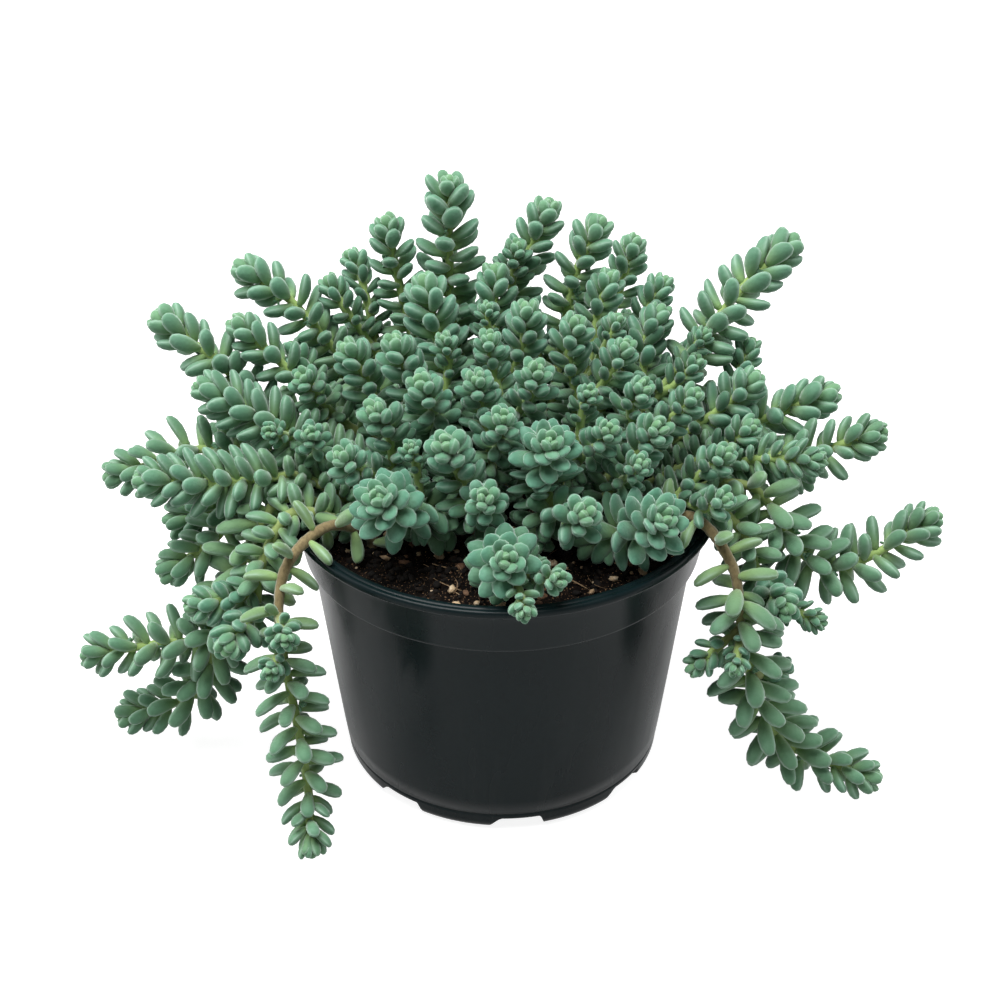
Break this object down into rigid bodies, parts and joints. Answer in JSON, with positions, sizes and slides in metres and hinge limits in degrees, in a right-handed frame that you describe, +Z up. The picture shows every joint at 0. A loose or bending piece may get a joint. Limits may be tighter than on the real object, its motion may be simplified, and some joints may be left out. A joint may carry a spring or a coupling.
{
  "type": "potted sedum",
  "caption": "Trailing blue-green sedum with plump leaves in dense rosettes, growing over the rim of a round black plastic nursery pot.",
  "frame": {"origin": "on the pot's axis at the surface that the pot stands on, the centre of the bottom of the bounding box", "axes": "+Z up, +X to the right and -Y to the front, where the soil shows at the rim"},
  "size_m": [0.2312, 0.1466, 0.1527],
  "materials": {
    "black_plastic": "satin",
    "potting_soil": "matt, damp crumbs",
    "blue_green_leaf": "matt, waxy bloom"
  },
  "bodies": {
    "root": {"pot": "black_plastic", "soil": "potting_soil", "front_stem_1": "blue_green_leaf", "front_stem_3": "blue_green_leaf", "front_stem_4": "blue_green_leaf", "front_stem_5": "blue_green_leaf", "front_stem_6": "blue_green_leaf", "front_stem_7": "blue_green_leaf", "front_stem_8": "blue_green_leaf", "front_stem_9": "blue_green_leaf", "crown_stem_1": "blue_green_leaf", "crown_stem_2": "blue_green_leaf", "crown_stem_3": "blue_green_leaf", "crown_stem_4": "blue_green_leaf", "crown_stem_5": "blue_green_leaf", "crown_stem_6": "blue_green_leaf", "crown_stem_7": "blue_green_leaf", "crown_stem_8": "blue_green_leaf", "crown_stem_9": "blue_green_leaf", "crown_stem_10": "blue_green_leaf", "crown_stem_11": "blue_green_leaf", "crown_stem_12": "blue_green_leaf", "crown_stem_13": "blue_green_leaf", "crown_stem_14": "blue_green_leaf", "left_stem_2": "blue_green_leaf", "back_stem_1": "blue_green_leaf", "back_stem_2": "blue_green_leaf", "back_stem_3": "blue_green_leaf", "back_stem_4": "blue_green_leaf", "back_stem_5": "blue_green_leaf", "back_stem_6": "blue_green_leaf", "front_stem_2": "blue_green_leaf", "upright_shoot_1": "blue_green_leaf", "upright_shoot_2": "blue_green_leaf", "upright_shoot_3": "blue_green_leaf", "upright_shoot_4": "blue_green_leaf", "upright_shoot_5": "blue_green_leaf", "upper_left_shoot_1": "blue_green_leaf", "upper_left_shoot_2": "blue_green_leaf", "upper_left_shoot_3": "blue_green_leaf", "left_shoot_1": "blue_green_leaf", "left_shoot_2": "blue_green_leaf", "left_shoot_3": "blue_green_leaf", "left_shoot_4": "blue_green_leaf", "left_shoot_5": "blue_green_leaf", "left_shoot_6": "blue_green_leaf", "left_trailing_stem": "blue_green_leaf", "right_shoot_1": "blue_green_leaf", "right_shoot_2": "blue_green_leaf", "right_shoot_3": "blue_green_leaf", "right_shoot_4": "blue_green_leaf", "right_shoot_5": "blue_green_leaf", "right_shoot_6": "blue_green_leaf", "right_trailing_stem": "blue_green_leaf", "back_shoot_1": "blue_green_leaf", "back_shoot_2": "blue_green_leaf", "back_shoot_3": "blue_green_leaf", "back_shoot_4": "blue_green_leaf", "back_shoot_5": "blue_green_leaf"}
  },
  "joints": []
}
